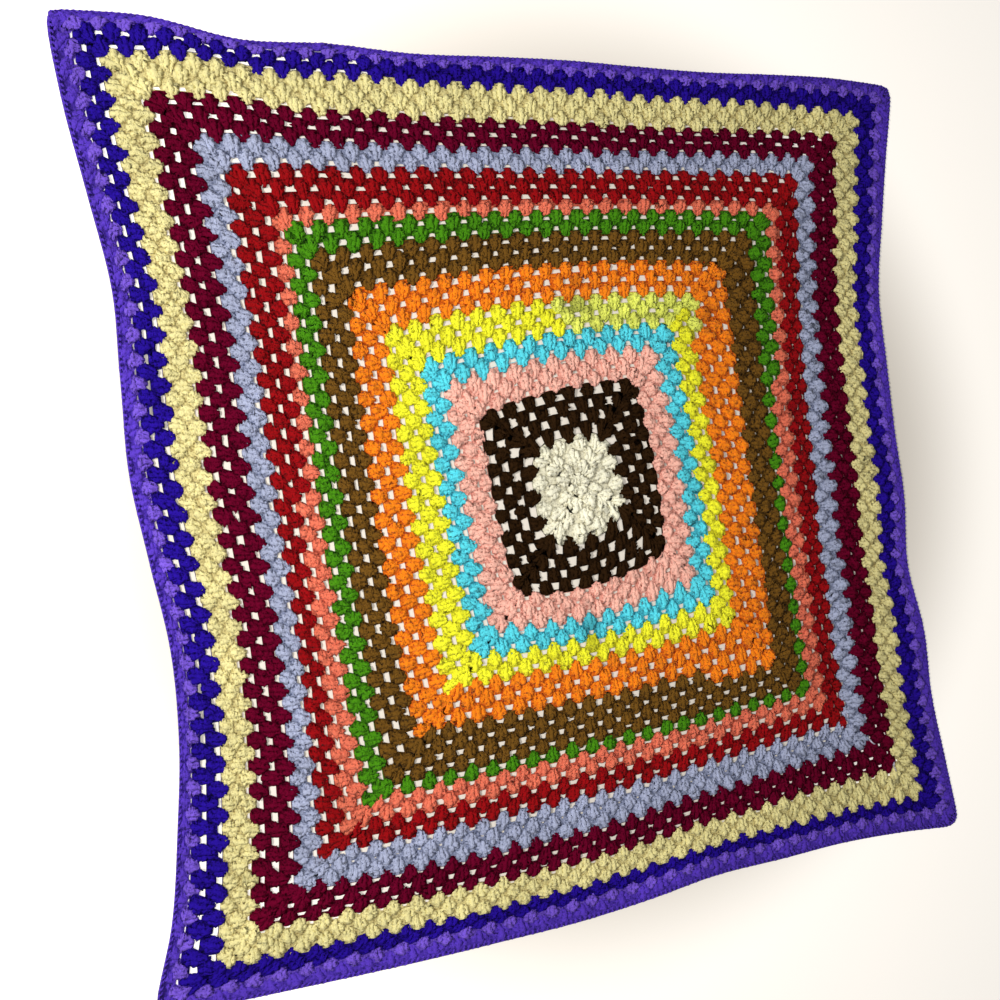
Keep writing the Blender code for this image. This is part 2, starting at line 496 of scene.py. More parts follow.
CHANGES = (
    # Rounds 14 to 16 turn greener, with darker olive creases, from the ninth cluster of the top side on.
    YarnChange(14, Side.TOP, 8, Yarn.LIME_HEATHER),
    YarnChange(14, Side.RIGHT, 0, Yarn.YELLOW),
    YarnChange(15, Side.TOP, 8, Yarn.LIME_HEATHER),
    YarnChange(15, Side.RIGHT, 0, Yarn.YELLOW),
    YarnChange(16, Side.TOP, 8, Yarn.LIME_HEATHER),
    YarnChange(16, Side.RIGHT, 2, Yarn.ORANGE),
    YarnChange(19, Side.BOTTOM, 4, Yarn.BROWN),
    YarnChange(24, Side.RIGHT, 8, Yarn.CORAL),
    YarnChange(26, Side.LEFT, 14, Yarn.RED),
    YarnChange(28, Side.BOTTOM, 0, Yarn.GREY),
)


@dataclass(frozen=True)
class Ring:
    """Corners of the square at one round, and how far each side bows out, in millimetres in plan.

    The edge share is how much of the outer edge's inset the round follows.
    """

    round: float
    tl: tuple[float, float]
    tr: tuple[float, float]
    br: tuple[float, float]
    bl: tuple[float, float]
    bow: tuple[float, float, float, float]
    edge_share: float


RINGS = (
    Ring(4, (-54, 48), (50, 65), (76, -47), (-44, -82), (1, 3, 12, 4), 0.0),
    Ring(8, (-118, 94), (98, 130), (124, -105), (-88, -138), (8, 7, 16, 4), 0.0),
    Ring(13, (-188, 161), (157, 201), (193, -181), (-149, -211), (12, 6, 10, 4), 0.0),
    Ring(19, (-267, 250), (242, 282), (279, -281), (-228, -306), (15, 1, 5, 9), 0.0),
    Ring(25, (-347, 345), (336, 365), (356, -348), (-312, -391), (8, -12, 10, 3), 0.0),
    Ring(28, (-395, 396), (369, 405), (386, -389), (-355, -428), (3, -7, 14, 2), 0.18),
    Ring(30, (-427, 430), (398, 431), (422, -416), (-384, -453), (0, -1, 16, 1), 0.30),
    Ring(33, (-473, 476), (438, 464), (465, -456), (-437, -487), (-4, 1, 17, 1), 0.45),
    Ring(36, (-515, 519), (480, 497), (508, -507), (-477, -524), (3, 2, 4, 0), 0.65),
    Ring(38, (-541, 547), (510, 521), (538, -526), (-520, -542), (0, 0, 0, 0), 0.80),
    Ring(EDGE_ROUND, (-566, 558), (538, 537), (568, -557), (-545, -562), (0, 0, 0, 0), 1.0),
)


@dataclass(frozen=True)
class Inset:
    """How far the outer edge is drawn in from a straight line at one station, in millimetres."""

    top: float
    right: float
    bottom: float
    left: float


INSETS = (
    Inset(0, 0, 0, 0),
    Inset(-2, 19, 9, 28),
    Inset(15, 38, 14, 44),
    Inset(11, 54, 12, 56),
    Inset(14, 52, 11, 57),
    Inset(9, 49, 0, 45),
    Inset(5, 43, -7, 34),
    Inset(5, 48, -8, 36),
    Inset(4, 30, -8, 37),
    Inset(-1, 27, -6, 23),
    Inset(-4, 13, -3, 8),
    Inset(0, 0, 0, 0),
)


@dataclass(frozen=True)
class Rise:
    """A low rise in the laid cloth, in millimetres and degrees."""

    x: float
    y: float
    length: float
    width: float
    turn_deg: float
    height: float


RISES = (
    Rise(12, -20, 900, 46, 92, 3.0),
    Rise(-40, 20, 820, 44, 2, 2.4),
    Rise(-505, 150, 190, 60, 100, 5.0),
    Rise(-478, -230, 170, 60, 84, 4.0),
    Rise(-400, 505, 170, 56, 150, 5.0),
    Rise(-120, 510, 200, 50, 4, 3.0),
    Rise(270, 500, 220, 50, 176, 3.0),
    Rise(480, 330, 180, 56, 78, 4.5),
    Rise(482, -40, 200, 56, 94, 4.0),
    Rise(505, -330, 170, 54, 100, 4.0),
    Rise(340, -505, 180, 54, 8, 4.5),
    Rise(130, -515, 150, 50, 20, 4.0),
    Rise(-180, -528, 200, 52, 178, 3.0),
    Rise(-430, -500, 150, 54, 40, 4.0),
)


@dataclass(frozen=True)
class CornerTurn:
    """How round the square's corners are at one round, in rounds."""

    round: float
    radius: float


CORNER_TURNS = (
    CornerTurn(0, 0.05),
    CornerTurn(2, 1.3),
    CornerTurn(4, 2.0),
    CornerTurn(6, 1.2),
    CornerTurn(9, 0.6),
    CornerTurn(34, 0.6),
    CornerTurn(EDGE_ROUND, 1.6),
)


@dataclass
class SquarePlan:
    """Turns places in rounds into plan, in the row frame."""

    middle: tuple[float, float] = field(init=False)

    def __post_init__(self) -> None:
        """Finds the middle of the outline's box, which is the row frame's origin."""
        self.middle = (0.0, 0.0)
        along = np.linspace(-EDGE_ROUND, EDGE_ROUND, 400)
        edge = np.full_like(along, EDGE_ROUND)
        us = np.concatenate([along, along, edge, -edge])
        vs = np.concatenate([edge, -edge, along, along])
        x, y = self.flat(us, vs)
        self.middle = ((x.min() + x.max()) / 2, (y.min() + y.max()) / 2)

    def flat(self, u: np.ndarray, v: np.ndarray) -> tuple[np.ndarray, np.ndarray]:
        """Finds plan positions.

        Args:
            u: Rounds to the right of the middle.
            v: Rounds above the middle.

        Returns:
            The x and y of each place in millimetres.
        """
        u, v = self._rounded(np.asarray(u, float), np.asarray(v, float))
        out = np.maximum(np.maximum(abs(u), abs(v)), 1e-6)
        side = np.select([v >= out - 1e-9, u >= out - 1e-9, v <= 1e-9 - out], [0, 1, 2], 3)
        share = 0.5 + np.choose(side, [u, -v, -u, v]) / (2 * out)
        corners = self._corners(out)
        start = np.choose(side, [0, 1, 2, 3])
        end = (start + 1) % 4
        pick = np.arange(out.size)
        a = corners[pick, start.ravel()].reshape(*out.shape, 2)
        b = corners[pick, end.ravel()].reshape(*out.shape, 2)
        run = b - a
        length = np.hypot(run[..., 0], run[..., 1])
        bulge = self._bulge(out, side, share)
        x = a[..., 0] + run[..., 0] * share - run[..., 1] / length * bulge
        y = a[..., 1] + run[..., 1] * share + run[..., 0] / length * bulge
        return x - self.middle[0], y - self.middle[1]

    def lift(self, x: np.ndarray, y: np.ndarray) -> np.ndarray:
        """Finds the height of the low rises.

        Args:
            x: Millimetres to the right of the row frame's origin.
            y: Millimetres up from it.

        Returns:
            Millimetres of lift at each place.
        """
        x, y = x + self.middle[0], y + self.middle[1]
        total = np.zeros_like(x)
        for rise in RISES:
            turn = math.radians(rise.turn_deg)
            dx, dy = x - rise.x, y - rise.y
            along = (dx * math.cos(turn) + dy * math.sin(turn)) / (rise.length / 2)
            across = (-dx * math.sin(turn) + dy * math.cos(turn)) / (rise.width / 2)
            hump = np.cos(along * math.pi / 2) ** 2 * np.cos(across * math.pi / 2) ** 2
            total += np.where((abs(along) < 1) & (abs(across) < 1), rise.height * hump, 0.0)
        return total

    def solid(self, u: np.ndarray, v: np.ndarray, height: np.ndarray) -> np.ndarray:
        """Finds points in the row frame.

        Args:
            u: Rounds to the right of the middle.
            v: Rounds above the middle.
            height: Millimetres above the underside of the sheet.

        Returns:
            Points in metres, one row each.
        """
        x, y = self.flat(u, v)
        z = np.asarray(height, float) + self.lift(x, y)
        return np.stack([x, y, z], axis=-1) * MM

    def _rounded(self, u: np.ndarray, v: np.ndarray) -> tuple[np.ndarray, np.ndarray]:
        """Pulls places near the corners in, so that each round turns its corners smoothly.

        Args:
            u: Rounds to the right of the middle.
            v: Rounds above the middle.

        Returns:
            The u and v of each place after it.
        """
        out = np.maximum(abs(u), abs(v))
        radius = np.interp(out, [c.round for c in CORNER_TURNS], [c.radius for c in CORNER_TURNS])
        du, dv = abs(u) - (out - radius), abs(v) - (out - radius)
        near = (du > 0) & (dv > 0)
        shrink = np.where(near, radius / np.maximum(np.hypot(du, dv), 1e-9), 1.0)
        new_u = np.where(near, out - radius + du * shrink, abs(u))
        new_v = np.where(near, out - radius + dv * shrink, abs(v))
        return np.copysign(new_u, u), np.copysign(new_v, v)

    @staticmethod
    def _corners(out: np.ndarray) -> np.ndarray:
        """Finds the corners of the square.

        Args:
            out: Rounds out from the middle.

        Returns:
            By place: top left, top right, lower right and lower left corner, in millimetres.
        """
        table = np.array([(r.tl, r.tr, r.br, r.bl) for r in RINGS], float)
        rounds = [0.0, *(r.round for r in RINGS)]
        table = np.concatenate([np.repeat(table[:1].mean(axis=1, keepdims=True), 4, axis=1), table])
        flat = np.ravel(out)
        made = np.empty((flat.size, 4, 2))
        for corner in range(4):
            for axis in range(2):
                made[:, corner, axis] = np.interp(flat, rounds, table[:, corner, axis])
        return made

    def _bulge(self, out: np.ndarray, side: np.ndarray, share: np.ndarray) -> np.ndarray:
        """Finds how far each place stands out from the straight line between its corners.

        Args:
            out: Rounds out from the middle.
            side: Number of the side, from the top one clockwise.
            share: How far along the side, from 0 to 1.

        Returns:
            Millimetres outwards.
        """
        rounds = [0.0, *(r.round for r in RINGS)]
        bows = [np.interp(out, rounds, [0.0, *(r.bow[s] for r in RINGS)]) for s in range(4)]
        stations = np.array([(i.top, i.right, i.bottom, i.left) for i in INSETS], float)
        wave = np.choose(side, [self._smooth(stations[:, s], share) for s in range(4)])
        follow = np.interp(out, rounds, [0.0, *(r.edge_share for r in RINGS)])
        return np.choose(side, bows) * 4 * share * (1 - share) - follow * wave

    @staticmethod
    def _smooth(values: np.ndarray, share: np.ndarray) -> np.ndarray:
        """Joins values at even stations smoothly.

        Args:
            values: The value at each station.
            share: How far along the stations, from 0 to 1.

        Returns:
            The value at each share.
        """
        last = len(values) - 1
        place = np.clip(share, 0, 1) * last
        k = np.minimum(place.astype(int), last - 1)
        f = place - k
        p0, p1 = values[np.maximum(k - 1, 0)], values[k]
        p2, p3 = values[k + 1], values[np.minimum(k + 2, last)]
        m1, m2 = (p2 - p0) / 2, (p3 - p1) / 2
        return (
            (2 * f**3 - 3 * f**2 + 1) * p1
            + (f**3 - 2 * f**2 + f) * m1
            + (3 * f**2 - 2 * f**3) * p2
            + (f**3 - f**2) * m2
        )


def turned(along: np.ndarray, out: np.ndarray, side: np.ndarray) -> tuple[np.ndarray, np.ndarray]:
    """Turns places on a side into places on the square.

    Args:
        along: Rounds along the side from its middle, in the working direction.
        out: Rounds out from the middle of the square.
        side: Number of the side.

    Returns:
        The u and v of each place.
    """
    u = np.choose(side, [-out, along, out, -along])
    v = np.choose(side, [along, out, -along, -out])
    return u, v


@dataclass(frozen=True)
class ClusterList:
    """Every cluster of one yarn: where it is, how wide it is and how it leans."""

    round: np.ndarray
    side: np.ndarray
    along: np.ndarray
    half_base: np.ndarray
    half_top: np.ndarray
    reach: np.ndarray
    lean: np.ndarray
    puff: np.ndarray


@dataclass
class Pattern:
    """The working order: which yarn each cluster is in."""

    corner_lean: float = 0.34
    corner_lift: float = 0.16
    full_reach: float = 0.95
    stray_lean: float = 0.06
    stray_along: float = 0.06
    stray_out: float = 0.04
    base_uneven: float = 0.08
    top_uneven: float = 0.06
    puff_uneven: float = 0.07
    yarns: dict[tuple[int, int, int], Yarn] = field(default_factory=dict)
    bands: dict[int, Band] = field(default_factory=dict)
    gaps: dict[int, GapSize] = field(default_factory=dict)

    def __post_init__(self) -> None:
        """Works through the rounds."""
        for size in GAP_SIZES:
            self.gaps.update({n: size for n in range(size.first, size.last + 1)})
        for band in BANDS:
            for number in range(band.first, band.last + 1):
                self.bands[number] = band
                self._work(number, band.yarn)

    def _work(self, number: int, yarn: Yarn) -> None:
        """Works one round, changing yarn where the table says.

        Args:
            number: The round.
            yarn: The yarn it starts in.
        """
        changes = {(c.side.value, c.after): c.yarn for c in CHANGES if c.round == number}
        for side in range(4):
            for k in range(number):
                yarn = changes.get((side, k), yarn)
                self.yarns[number, side, k] = yarn

    def clusters(self, yarn: Yarn) -> ClusterList:
        """Lists a yarn's clusters.

        Args:
            yarn: The yarn.

        Returns:
            Its clusters, each a little uneven.
        """
        keys = [key for key, used in self.yarns.items() if used is yarn]
        number, side, k = (np.array(column) for column in zip(*keys))
        rng = np.random.default_rng(SEED + list(Yarn).index(yarn))
        count = len(keys)
        bands = [self.bands[n] for n in number]
        first, last = k == 0, k == number - 1
        lean = rng.normal(0, self.stray_lean, count) + self.corner_lean * (first.astype(float) - last)
        reach = np.array([self.full_reach - self.gaps[max(n - 1, 1)].deep / ROUND_MM for n in number])
        return ClusterList(
            round=number.astype(float) + rng.normal(0, self.stray_out, count),
            side=side,
            along=2.0 * k - (number - 1) + rng.normal(0, self.stray_along, count),
            half_base=np.array([b.half_base for b in bands]) * rng.normal(1, self.base_uneven, count),
            half_top=np.array([b.half_top for b in bands]) * rng.normal(1, self.top_uneven, count),
            reach=reach - self.corner_lift * (first | last) + rng.normal(0, self.stray_out, count),
            lean=np.where(number == 1, 0.0, lean),
            puff=np.array([b.puff for b in bands]) * rng.normal(1, self.puff_uneven, count),
        )


@dataclass(frozen=True)
class PostRing:
    """One section across a post: its place along it, and its half width, middle and half height."""

    t: float
    width: float
    middle_mm: float
    half_mm: float


POST_RINGS = (
    PostRing(0.00, 0.84, 1.4, 1.1),
    PostRing(0.12, 1.10, 2.4, 2.2),
    PostRing(0.25, 0.86, 2.7, 2.0),
    PostRing(0.38, 1.12, 3.3, 2.8),
    PostRing(0.51, 0.88, 3.4, 2.5),
    PostRing(0.64, 1.12, 3.8, 3.2),
    PostRing(0.77, 0.88, 3.5, 2.6),
    PostRing(0.89, 1.06, 3.0, 2.7),
    PostRing(1.00, 0.66, 1.9, 1.2),
)


def ring_columns(rings: Sequence[PostRing]) -> list[np.ndarray]:
    """Lays out the sections of a post for working on many posts at once.

    Args:
        rings: The sections.

    Returns:
        Place along, half width, middle and half height, each shaped by post, section and place round it.
    """
    table = np.array([(r.t, r.width, r.middle_mm, r.half_mm) for r in rings])
    return [column[None, :, None] for column in table.T]


@dataclass
class StitchMesh:
    """Points, faces and wrap coordinates being gathered for one piece."""

    points: list[np.ndarray] = field(default_factory=list)
    faces: list[np.ndarray] = field(default_factory=list)
    wraps: list[np.ndarray] = field(default_factory=list)
    count: int = 0

    def add_tubes(self, rings: np.ndarray, turn: float = 0.0) -> None:
        """Adds closed tubes.

        Args:
            rings: Points by tube, section and place round the section.
            turn: How far the crown lies from the top of the tube, as a share of the way round.
        """
        tubes, sections, sides, _ = rings.shape
        base = self.count + np.arange(tubes)[:, None, None] * sections * sides
        s, k = np.meshgrid(np.arange(sections - 1), np.arange(sides), indexing="ij")
        nxt = (k + 1) % sides
        quad = np.stack([s * sides + k, s * sides + nxt, (s + 1) * sides + nxt, (s + 1) * sides + k], -1)
        self.faces.append((base + quad.reshape(1, -1, 4)).reshape(-1, 4))
        u = np.stack([k, k + 1, k + 1, k], -1) / sides - turn
        v = np.stack([s, s, s + 1, s + 1], -1) / (sections - 1)
        wrap = np.stack([u, v], -1).reshape(-1, 4, 2)
        self.wraps.append(np.tile(wrap, (tubes, 1, 1)).reshape(-1, 2))
        for section, order in ((0, range(sides - 1, -1, -1)), (sections - 1, range(sides))):
            ends = base.reshape(-1, 1) + section * sides + np.array(list(order))
            self.faces.append(ends)
            # The caps take the wrap place under the crown at a stitch's end, so they are painted with the
            # crease colour's shade.
            self.wraps.append(np.tile([[0.5, 0.0]], (ends.size, 1)))
        self.points.append(rings.reshape(-1, 3))
        self.count += tubes * sections * sides

    def piece(self, name: str, materials: Sequence[bpy.types.Material]) -> bpy.types.Object:
        """Makes the piece.

        Args:
            name: Piece name.
            materials: Its materials.

        Returns:
            The new object, linked to the scene.
        """
        mesh = bpy.data.meshes.new(name)
        points = np.concatenate(self.points)
        corners = np.concatenate([f.ravel() for f in self.faces])
        sizes = np.concatenate([np.full(len(f), f.shape[1]) for f in self.faces])
        starts = np.concatenate([[0], np.cumsum(sizes)[:-1]])
        mesh.vertices.add(len(points))
        mesh.vertices.foreach_set("co", points.astype(np.float32).ravel())
        mesh.loops.add(len(corners))
        mesh.loops.foreach_set("vertex_index", corners.astype(np.int32))
        mesh.polygons.add(len(sizes))
        mesh.polygons.foreach_set("loop_start", starts.astype(np.int32))
        mesh.polygons.foreach_set("use_smooth", np.ones(len(sizes), bool))
        mesh.update(calc_edges=True)
        layer = mesh.uv_layers.new(name=WRAPS)
        layer.data.foreach_set("uv", np.concatenate(self.wraps).astype(np.float32).ravel())
        mesh.validate()
        for material in materials:
            mesh.materials.append(material)
        made = bpy.data.objects.new(name, mesh)
        bpy.context.scene.collection.objects.link(made)
        return made


@dataclass
class Stitches:
    """The clusters of one yarn: three knobbly posts each, which run into each other."""

    plan: SquarePlan
    pattern: Pattern
    yarn: Yarn
    sides: int = 5
    # Turns the painted crown highlight of the outer posts towards the cluster's middle, so each cluster is
    # painted lighter in its middle and darker at its sides: painted shade.
    crown_turn: float = 0.13
    spacing: float = 0.54
    thickness: float = 0.42
    base_round: float = 0.05
    top_round: float = 0.26
    drop_mm: float = 1.2
    uneven: float = 0.15
    stray: float = 0.06
    stray_mm: float = 0.45
    hub: float = 0.12
    lowest_mm: float = 0.3
    fanning: float = 1.8

    def mesh(self) -> StitchMesh:
        """Builds the posts of every cluster.

        Returns:
            The gathered mesh.
        """
        made = StitchMesh()
        clusters = self.pattern.clusters(self.yarn)
        rng = np.random.default_rng(SEED * 7 + list(Yarn).index(self.yarn))
        for post in (-1, 0, 1):
            made.add_tubes(self._posts(clusters, post, rng), self.crown_turn * post)
        return made

    def _posts(self, clusters: ClusterList, post: int, rng: np.random.Generator) -> np.ndarray:
        """Points of one post of each cluster.

        Args:
            clusters: The clusters.
            post: Which post: -1, 0 or 1.
            rng: Makes each knob a little uneven.

        Returns:
            Points by cluster, section and place round the section.
        """
        t, width, middle, half = ring_columns(POST_RINGS)
        c = {k: getattr(clusters, k)[:, None, None] for k in clusters.__dataclass_fields__}
        angles = np.arange(self.sides) / self.sides * 2 * math.pi + math.pi / 2
        knobs = (len(clusters.round), t.size, 1)
        thick = rng.normal(1, self.uneven, knobs)
        spread = c["half_base"] + (c["half_top"] - c["half_base"]) * (1 - (1 - t) ** self.fanning)
        strand = spread * self.thickness * width * thick
        start = np.maximum(c["round"] - 1 - c["reach"] + self.base_round * abs(post), self.hub)
        end = c["round"] - self.top_round * abs(post)
        out = start + (end - start) * t + rng.normal(0, self.stray, knobs) + 0 * angles
        line = c["along"] + c["lean"] * (1 - t) + post * spread * self.spacing
        along = line + rng.normal(0, self.stray, knobs) + strand * np.cos(angles)
        rise = middle - self.drop_mm * abs(post) + rng.normal(0, self.stray_mm, knobs)
        height = np.maximum((rise + half * thick * np.sin(angles)) * c["puff"], self.lowest_mm)
        u, v = turned(along, out, c["side"] + 0 * out.astype(int))
        return self.plan.solid(u, v, height)

    def dress(self) -> bpy.types.Object:
        """Makes the piece in its yarn."""
        name = "stitches_" + self.yarn.value.name
        return self.mesh().piece(name, [self.yarn.value.material()])


@dataclass
class Ground:
    """The thin worked ground between and under the posts, with the gap of every round left open."""

    plan: SquarePlan
    pattern: Pattern
    height_rounds: tuple[float, ...] = (0.0, 38.6, 39.4, 40.0, EDGE_ROUND)
    height_mm: tuple[float, ...] = (1.5, 1.5, 4.0, 4.1, 2.4)
    gap_start: float = 0.05
    gap_end: float = 0.92
    inner_share: float = 1.12
    outer_share: float = 0.64
    opened: tuple[float, float, float, float] = (1.10, 1.05, 0.82, 0.98)
    uneven: float = 0.18
    rng: np.random.Generator = field(default_factory=lambda: np.random.default_rng(SEED))

    def mesh(self) -> tuple[StitchMesh, list[Yarn]]:
        """Builds the ground, round by round.

        Returns:
            The mesh, and the yarn of each face.
        """
        points: dict[tuple[float, float], int] = {}
        faces: list[list[int]] = []
        yarns: list[Yarn] = []

        def at(side: int, along: float, out: float) -> int:
            """Number of the point at a place on a side, made when it is new."""
            u, v = turned(np.array(along), np.array(out), np.array(side))
            return points.setdefault((round(float(u), 4), round(float(v), 4)), len(points))

        def add(number: int, side: int, k: int, *corners: int) -> None:
            """Keeps one face in the yarn of a cluster."""
            faces.append(list(corners))
            yarns.append(self.pattern.yarns[number, side, k])

        for side in range(4):
            for number in range(1, ROUNDS + 1):
                self._round(number, side, at, add)
            for k in range(2 * ROUNDS):
                a, b = k - ROUNDS, k + 1 - ROUNDS
                grow = EDGE_ROUND / ROUNDS
                low = (at(side, a, ROUNDS), at(side, b, ROUNDS))
                high = (at(side, b * grow, EDGE_ROUND), at(side, a * grow, EDGE_ROUND))
                add(ROUNDS, side, k // 2, *low, *high)
        places = np.array(list(points))
        heights = np.interp(np.abs(places).max(axis=1), self.height_rounds, self.height_mm)
        made = StitchMesh()
        made.points.append(self.plan.solid(places[:, 0], places[:, 1], heights))
        triangles = [f for f in faces if len(f) == 3]
        quads = [f for f in faces if len(f) == 4]
        order = [y for n in (3, 4) for f, y in zip(faces, yarns) if len(f) == n]
        made.faces += [np.array(triangles), np.array(quads)]
        corners = np.concatenate([np.ravel(triangles), np.ravel(quads)])
        # The ground takes the wrap place under a stitch, so its colour is pulled towards the crease colour:
        # painted shade under and between the posts.
        made.wraps.append(np.tile([[0.5, 0.25]], (len(corners), 1)))
        return made, order

    def _round(
        self, number: int, side: int, at: Callable[[int, float, float], int], add: Callable[..., None]
    ) -> None:
        """Builds one side of one round around its gaps.

        Args:
            number: The round.
            side: The side.
            at: Makes or finds a point.
            add: Keeps a face.
        """
        low, high = number - 1, number
        if number == 1:
            for k in range(2):
                add(1, side, 0, at(side, 0, 0), at(side, k, 1), at(side, k - 1, 1))
            return
        size = self.pattern.gaps[number]
        for k in range(1, number):
            mid = 2 * k - number
            left, right = k - 1, k
            drawn = self._drawn(number, side, k)
            if not size.long * drawn:
                bl, bg, br = at(side, mid - 1, low), at(side, mid, low), at(side, mid + 1, low)
                tl, tg, tr = at(side, mid - 1, high), at(side, mid, high), at(side, mid + 1, high)
                add(number, side, left, bl, tl, tg, bg)
                add(number, side, right, bg, tg, tr, br)
                continue
            grow_long, grow_deep = self.rng.normal(self.opened[side], self.uneven, 2)
            inner = size.long / 2 / ROUND_MM * grow_long * self.inner_share * drawn
            outer = inner * self.outer_share
            near = low + self.gap_start
            far = min(near + size.deep / ROUND_MM * grow_deep * drawn, low + self.gap_end)
            il, ir = at(side, mid - inner, near), at(side, mid + inner, near)
            ol, outer_r = at(side, mid - outer, far), at(side, mid + outer, far)
            bl, bg, br = at(side, mid - 1, low), at(side, mid, low), at(side, mid + 1, low)
            tl, tg, tr = at(side, mid - 1, high), at(side, mid, high), at(side, mid + 1, high)
            add(number, side, left, bl, il, bg)
            add(number, side, left, bg, il, ir)
            add(number, side, right, bg, ir, br)
            add(number, side, left, bl, tl, ol, il)
            add(number, side, right, br, ir, outer_r, tr)
            add(number, side, left, tl, tg, ol)
            add(number, side, left, ol, tg, outer_r)
            add(number, side, right, outer_r, tg, tr)
        for sign, k in ((-1, 0), (1, number - 1)):
            inside, corner = at(side, sign * low, low), at(side, sign * high, high)
            add(number, side, k, inside, corner, at(side, sign * low, high))

    @staticmethod
    def _drawn(number: int, side: int, k: int) -> float:
        """Share of its size that a gap keeps.

        Args:
            number: The round.
            side: The side.
            k: Which gap of the side.

        Returns:
            1 for an open gap, 0 for one that is drawn shut.
        """
        for stretch in DRAWN_IN:
            here = stretch.side.value == side and stretch.first <= number <= stretch.last
            if here and k >= stretch.start * number:
                return stretch.share
        return 1.0

    def dress(self) -> bpy.types.Object:
        """Makes the piece, each face in its cluster's yarn.

        Returns:
            The piece.
        """
        gathered, order = self.mesh()
        used = [y for y in Yarn if y in set(order)]
        made = gathered.piece("ground", [bpy.data.materials["yarn_" + y.value.name] for y in used])
        made.data.polygons.foreach_set("material_index", np.array([used.index(y) for y in order], np.int32))
        return made


EDGE_RINGS = (
    PostRing(0.00, 0.70, 2.3, 1.0),
    PostRing(0.28, 1.10, 3.0, 1.9),
    PostRing(0.52, 0.92, 2.9, 1.6),
    PostRing(0.76, 1.12, 2.9, 2.1),
    PostRing(1.00, 0.72, 2.4, 1.2),
)


@dataclass
class Edging:
    """The narrow edging worked into the last round: one row of short upright stitches."""

    plan: SquarePlan
    stitches_per_side: int = 172
    start: float = 39.62
    end: float = 40.27
    sides: int = 4
    stray: float = 0.03
    overlap: float = 1.08
    uneven: float = 0.07

    def mesh(self) -> StitchMesh:
        """Builds the stitches along each side.

        Returns:
            The gathered mesh.
        """
        made = StitchMesh()
        rng = np.random.default_rng(SEED * 3)
        t, width, middle, half = ring_columns(EDGE_RINGS)
        angles = np.arange(self.sides) / self.sides * 2 * math.pi + math.pi / 2
        count = self.stitches_per_side
        place = (np.arange(count) + 0.5) / count * 2 - 1
        for side in Side:
            knobs = (count, t.size, 1)
            out = self.start + (self.end - self.start) * t + rng.normal(0, self.stray, knobs) + 0 * angles
            strand = self.end / count * width * rng.normal(self.overlap, self.uneven, knobs)
            along = place[:, None, None] * out + rng.normal(0, self.stray, knobs) + strand * np.cos(angles)
            height = middle + half * np.sin(angles)
            u, v = turned(along, out, np.full(out.shape, side.value))
            made.add_tubes(self.plan.solid(u, v, height))
        return made

    def dress(self) -> bpy.types.Object:
        """Makes the piece in the outer violet."""
        return self.mesh().piece("edging", [bpy.data.materials["yarn_violet_edge"]])


@dataclass(frozen=True)
class Tail:
    """A short yarn end that shows on the face: where it starts, in rounds, and where it runs."""

    u: float
    v: float
    turn_deg: float
    length_mm: float


@dataclass
class Tails:
    """The pale yarn ends that lie near the lower right corner."""

    plan: SquarePlan
    sections: int = 9
    sides: int = 6
    curl: float = 0.9
    radius_mm: float = 1.1
    lie_mm: float = 6.0
    arch_mm: float = 1.2
    taper_at: tuple[float, ...] = (0.0, 0.1, 0.85, 1.0)
    taper: tuple[float, ...] = (0.5, 1.0, 0.9, 0.35)
    ends: tuple[Tail, ...] = (
        Tail(28.0, -25.8, -80, 8),
        Tail(29.8, -28.9, -50, 13),
        Tail(32.6, -31.8, -85, 16),
    )

    def mesh(self) -> StitchMesh:
        """Builds the yarn ends as thin curved tubes.

        Returns:
            The gathered mesh.
        """
        made = StitchMesh()
        t = np.linspace(0, 1, self.sections)
        angles = np.arange(self.sides) / self.sides * 2 * math.pi
        tubes = []
        for end in self.ends:
            turn = math.radians(end.turn_deg) + self.curl * (t - 0.5)
            step = end.length_mm / (self.sections - 1) / ROUND_MM
            u = end.u + np.cumsum(np.cos(turn)) * step
            v = end.v + np.cumsum(np.sin(turn)) * step
            radius = self.radius_mm * np.interp(t, self.taper_at, self.taper)[:, None]
            across = radius * np.cos(angles) / ROUND_MM
            pu = u[:, None] - np.sin(turn)[:, None] * across
            pv = v[:, None] + np.cos(turn)[:, None] * across
            arch = self.arch_mm * np.sin(t * math.pi)[:, None]
            height = self.lie_mm + arch + radius * np.sin(angles)
            tubes.append(self.plan.solid(pu, pv, height))
        made.add_tubes(np.stack(tubes))
        return made

    def dress(self) -> bpy.types.Object:
        """Makes the piece in pale yarn."""
        return self.mesh().piece("yarn_ends", [Yarn.TAIL.value.material()])


@dataclass(frozen=True)
class Lamp:
    """One soft studio light."""

    name: str
    place: tuple[float, float, float]
    aim: tuple[float, float, float]
    size: float
    watts: float


